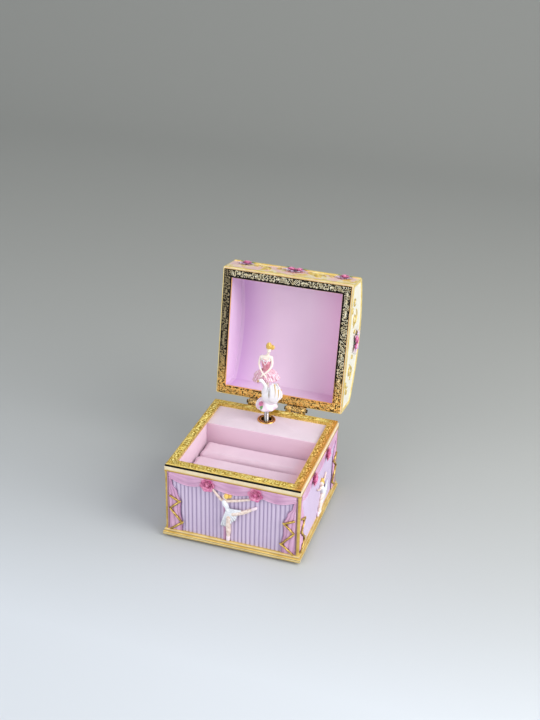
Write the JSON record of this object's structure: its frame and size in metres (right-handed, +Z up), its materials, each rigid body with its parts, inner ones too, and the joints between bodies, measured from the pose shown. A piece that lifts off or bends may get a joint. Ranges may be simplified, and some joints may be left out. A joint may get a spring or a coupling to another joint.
{
  "type": "jewellery box",
  "caption": "Square musical jewellery box: hinged barrel-vault lid, padded ring tray, wind-up movement and a dancer on a swan that turns, and leans forward as the lid shuts.",
  "frame": {"origin": "middle of the felt ring's underside, on the surface that the box stands on", "axes": "+X to the right, +Y from the front to the hinges, +Z up; the lid is stored open on its stop"},
  "size_m": [0.105, 0.1562, 0.1664],
  "materials": {
    "resin_cream": "cast resin, cream enamel with a soft shine",
    "resin_gold": "cast resin under gold paint",
    "resin_lilac": "cast resin, pearly grey-lilac enamel",
    "resin_mauve": "cast resin, pearly mauve-pink enamel",
    "resin_white": "cast resin, white enamel",
    "resin_pink": "cast resin, rose-pink enamel",
    "resin_skin": "cast resin, painted pale skin, gold hair and a pink bodice",
    "gilt_brass": "stamped brass with bright gilding",
    "brass": "plain turned brass",
    "steel": "bright steel",
    "zinc": "grey die-cast zinc",
    "black_plate": "thin plate with black paint",
    "board": "plain board",
    "velvet": "pale pink velvet",
    "lilac_satin": "smooth lilac-pink satin on card",
    "felt": "dense felt"
  },
  "bodies": {
    "box": {"box_body": "resin_cream", "plinth": "resin_gold", "felt_ring": "felt", "corner_beads": "resin_gold", "curtains": "resin_lilac", "valances": "resin_mauve", "side_drapes": "resin_mauve", "drape_cords": "resin_gold", "panel_dancers": "resin_white", "panel_roses": "resin_pink", "base_bezel": "gilt_brass", "bottom_plate": "black_plate", "plate_screws": "steel", "tray_floor": "board", "tray_lining": "velvet", "ring_roll_rear": "velvet", "ring_roll_middle": "velvet", "ring_roll_front": "velvet", "mechanism_cover": "velvet", "eyelet": "gilt_brass", "hinge_lower_leaves": "gilt_brass", "hinge_pins": "gilt_brass", "stem_spring": "steel", "bedplate": "zinc", "movement_screws": "steel", "spindle_bridge": "zinc", "comb": "steel", "comb_screws": "steel", "governor_bracket": "zinc", "stop_guide": "zinc"},
    "lid": {"hinge_upper_leaves": "gilt_brass", "lid_shell": "resin_cream", "lid_bezel": "gilt_brass", "lid_lining": "lilac_satin", "lid_trim": "resin_gold", "lid_scrolls": "resin_gold", "lid_roses": "resin_pink"},
    "stem": {"stem_ferrule": "steel"},
    "figurine": {"figurine_mound": "resin_white", "mound_rose": "resin_pink", "swan": "resin_white", "dancer": "resin_skin", "tutu": "resin_pink"},
    "spindle": {"spindle": "steel"},
    "winder": {"winding_key": "brass", "winding_arbor": "steel"},
    "barrel": {"spring_barrel": "brass", "mainspring": "steel"},
    "cylinder": {"cylinder_arbor": "steel", "pinned_cylinder": "brass"},
    "governor": {"governor_wheel": "brass"},
    "fly": {"fly": "steel"},
    "stop": {"stop_wire": "steel"}
  },
  "joints": [
    {"name": "lid_hinge", "type": "hinge", "parent": "box", "child": "lid", "pos_m": [0, 0.0534, 0.0634], "axis": [1, 0, 0], "range_deg": [0, 99.2]},
    {"name": "stem_fold", "type": "hinge", "parent": "box", "child": "stem", "pos_m": [-0.0028, 0.0358, 0.0695], "axis": [1, 0, 0], "range_deg": [0, 73], "deforming": ["stem_spring"]},
    {"name": "figurine_turn", "type": "hinge", "parent": "stem", "child": "figurine", "pos_m": [-0.0028, 0.0358, 0.0715], "axis": [0, 0, 1], "continuous": true},
    {"name": "spindle_turn", "type": "hinge", "parent": "box", "child": "spindle", "pos_m": [-0.0028, 0.0358, 0.016], "axis": [0, 0, 1], "continuous": true},
    {"name": "barrel_turn", "type": "hinge", "parent": "box", "child": "barrel", "pos_m": [-0.01263, 0.02037, 0.016], "axis": [0, 0, 1], "continuous": true},
    {"name": "winding_turn", "type": "hinge", "parent": "box", "child": "winder", "pos_m": [-0.01263, 0.02037, 0.016], "axis": [0, 0, -1], "continuous": true},
    {"name": "cylinder_turn", "type": "hinge", "parent": "box", "child": "cylinder", "pos_m": [-0.00013, 0.02037, 0.02237], "axis": [1, 0, 0], "continuous": true},
    {"name": "governor_turn", "type": "hinge", "parent": "box", "child": "governor", "pos_m": [0.0234, 0.02897, 0.02237], "axis": [1, 0, 0], "continuous": true},
    {"name": "fly_turn", "type": "hinge", "parent": "box", "child": "fly", "pos_m": [0.0289, 0.03527, 0.02237], "axis": [0, 0, 1], "continuous": true},
    {"name": "stop_slide", "type": "slide", "parent": "box", "child": "stop", "axis": [0, 0, -1], "range_m": [0, 0.002]}
  ],
  "couplings": [
    {"joint": "stem_fold", "follows": "lid_hinge", "ratio": 0.73589},
    {"joint": "stop_slide", "follows": "lid_hinge", "m_per_rad": 0.0011551},
    {"joint": "figurine_turn", "follows": "barrel_turn", "ratio": -2.25},
    {"joint": "spindle_turn", "follows": "barrel_turn", "ratio": -2.25},
    {"joint": "cylinder_turn", "follows": "barrel_turn", "ratio": 3},
    {"joint": "governor_turn", "follows": "barrel_turn", "ratio": -7.2},
    {"joint": "fly_turn", "follows": "barrel_turn", "ratio": 36}
  ]
}
